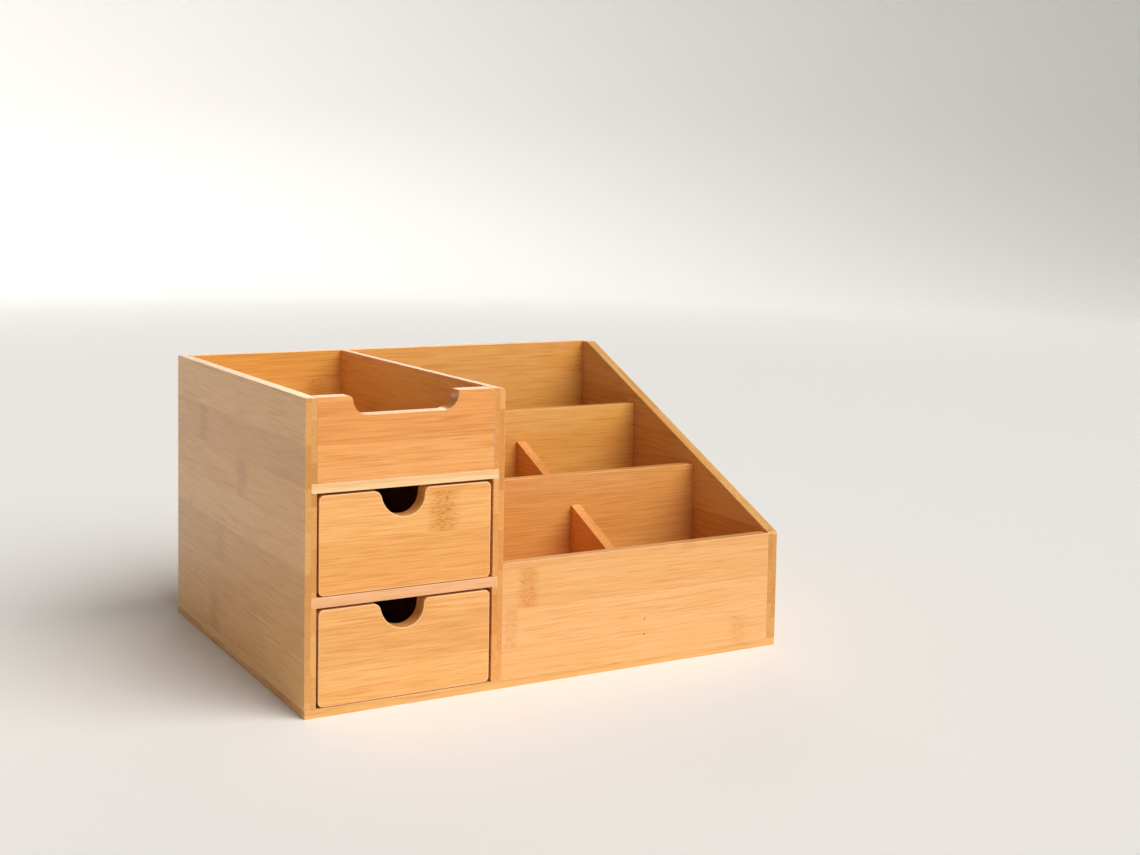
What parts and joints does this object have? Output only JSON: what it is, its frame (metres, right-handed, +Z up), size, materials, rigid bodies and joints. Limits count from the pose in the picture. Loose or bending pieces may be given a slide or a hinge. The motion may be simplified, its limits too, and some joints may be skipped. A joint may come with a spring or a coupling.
{
  "type": "desk organizer",
  "caption": "Low bamboo box organizer with an open scooped tray above stacked drawers at the left, and rows of pen cells behind a low front under a sloping side at the right.",
  "frame": {"origin": "middle of the underside of the bottom board, which is the bottom of the bounding box", "axes": "+X to the right as seen from the front, the front with the drawers faces -Y, +Z up"},
  "size_m": [0.33, 0.24, 0.18],
  "materials": {
    "bamboo_side": "laminated bamboo, sanded and clear lacquered, satin; greyer in tone",
    "bamboo_face": "laminated bamboo, sanded and clear lacquered, satin; warm honey",
    "bamboo_inner": "laminated bamboo, sanded and clear lacquered, satin; warm brown",
    "bamboo_shelf": "laminated bamboo, sanded and clear lacquered, satin; pale edge grain",
    "bamboo_drawer": "thin laminated bamboo, sanded, thin clear lacquer, nearly matt",
    "brad_steel": "drawn steel wire, dull and slightly dark"
  },
  "bodies": {
    "carcass": {"back_panel": "bamboo_inner", "back_panel_left_high_brad": "brad_steel", "back_panel_left_low_brad": "brad_steel", "back_panel_right_high_brad": "brad_steel", "back_panel_right_low_brad": "brad_steel", "bottom_board": "bamboo_shelf", "centre_divider": "bamboo_inner", "centre_divider_front_brad": "brad_steel", "centre_divider_middle_brad": "brad_steel", "centre_divider_rear_brad": "brad_steel", "drawer_shelf": "bamboo_shelf", "front_divider_high_brad": "brad_steel", "front_divider_low_brad": "brad_steel", "front_panel": "bamboo_face", "front_panel_high_brad": "brad_steel", "front_panel_low_brad": "brad_steel", "front_row_divider": "bamboo_inner", "left_side_panel": "bamboo_side", "left_side_panel_front_brad": "brad_steel", "left_side_panel_middle_brad": "brad_steel", "left_side_panel_rear_brad": "brad_steel", "middle_partition": "bamboo_inner", "middle_partition_high_brad": "brad_steel", "middle_partition_low_brad": "brad_steel", "middle_row_divider": "bamboo_inner", "rear_partition": "bamboo_inner", "rear_partition_high_brad": "brad_steel", "rear_partition_low_brad": "brad_steel", "right_side_panel": "bamboo_side", "right_side_panel_front_brad": "brad_steel", "right_side_panel_middle_brad": "brad_steel", "right_side_panel_rear_brad": "brad_steel", "tray_front": "bamboo_face", "tray_front_high_brad": "brad_steel", "tray_front_low_brad": "brad_steel", "tray_shelf": "bamboo_shelf"},
    "upper_drawer": {"upper_drawer_back": "bamboo_drawer", "upper_drawer_bottom": "bamboo_drawer", "upper_drawer_front": "bamboo_face", "upper_drawer_left_high_brad": "brad_steel", "upper_drawer_left_low_brad": "brad_steel", "upper_drawer_left_side": "bamboo_drawer", "upper_drawer_right_high_brad": "brad_steel", "upper_drawer_right_low_brad": "brad_steel", "upper_drawer_right_side": "bamboo_drawer"},
    "lower_drawer": {"lower_drawer_back": "bamboo_drawer", "lower_drawer_bottom": "bamboo_drawer", "lower_drawer_front": "bamboo_face", "lower_drawer_left_high_brad": "brad_steel", "lower_drawer_left_low_brad": "brad_steel", "lower_drawer_left_side": "bamboo_drawer", "lower_drawer_right_high_brad": "brad_steel", "lower_drawer_right_low_brad": "brad_steel", "lower_drawer_right_side": "bamboo_drawer"}
  },
  "joints": [
    {"name": "upper_drawer_slide", "type": "slide", "parent": "carcass", "child": "upper_drawer", "axis": [0, -1, 0], "range_m": [0, 0.18]},
    {"name": "lower_drawer_slide", "type": "slide", "parent": "carcass", "child": "lower_drawer", "axis": [0, -1, 0], "range_m": [0, 0.18]}
  ]
}
